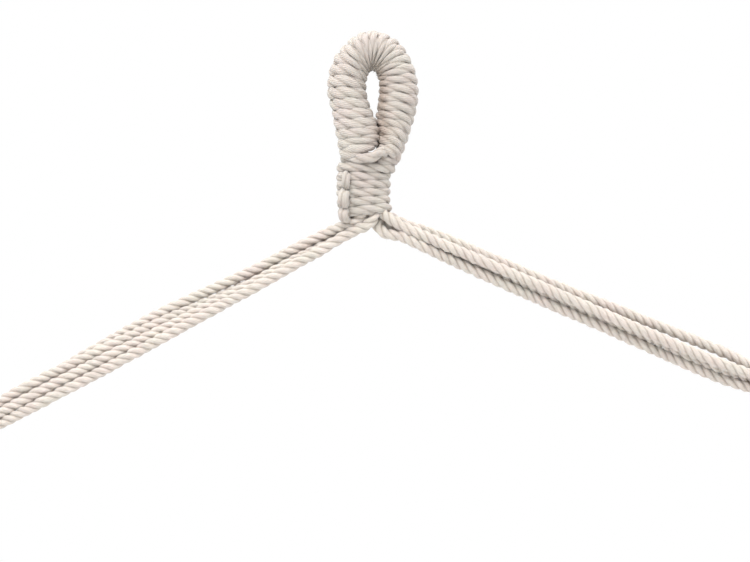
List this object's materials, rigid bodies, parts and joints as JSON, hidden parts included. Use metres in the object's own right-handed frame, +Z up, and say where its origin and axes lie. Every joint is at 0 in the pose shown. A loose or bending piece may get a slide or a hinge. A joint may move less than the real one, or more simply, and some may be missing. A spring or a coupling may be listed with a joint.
{
  "type": "macrame hanger head",
  "caption": "Top of a hanging macrame planter: a cord-wrapped hanging eye, a bound neck and two spreading legs of twisted cotton cord that end in wrapped gathering knots.",
  "frame": {"origin": "top of the hanging eye's opening, where the hook bears", "axes": "+Z up, +X to the right as seen from the front, -Y to the front; the eye lies in the XZ plane"},
  "size_m": [0.4603, 0.0214, 0.2109],
  "materials": {
    "core_cord": "undyed three-strand twisted cotton cord, matt",
    "wrap_cord": "undyed three-strand twisted cotton cord, wound tight, matt",
    "leg_cord": "undyed three-strand twisted cotton cord, pulled taut, matt"
  },
  "bodies": {
    "head": {"core_cord_1": "core_cord", "core_cord_2": "core_cord", "core_cord_3": "core_cord", "core_cord_4": "core_cord", "loop_wrap": "wrap_cord", "cross_lashing": "wrap_cord", "neck_wrap": "wrap_cord"},
    "left_leg": {"left_cord_1": "leg_cord", "left_cord_2": "leg_cord", "left_cord_3": "leg_cord", "left_cord_4": "leg_cord", "left_gathering_knot": "wrap_cord"},
    "right_leg": {"right_cord_1": "leg_cord", "right_cord_2": "leg_cord", "right_cord_3": "leg_cord", "right_cord_4": "leg_cord", "right_gathering_knot": "wrap_cord"}
  },
  "joints": [
    {"name": "left_leg_swing", "type": "hinge", "parent": "head", "child": "left_leg", "pos_m": [-0.0055, 0, -0.0732], "axis": [0, -1, 0], "range_deg": [-20, 60]},
    {"name": "right_leg_swing", "type": "hinge", "parent": "head", "child": "right_leg", "pos_m": [0.0027, 0, -0.0714], "axis": [0, 1, 0], "range_deg": [-12, 65]}
  ]
}
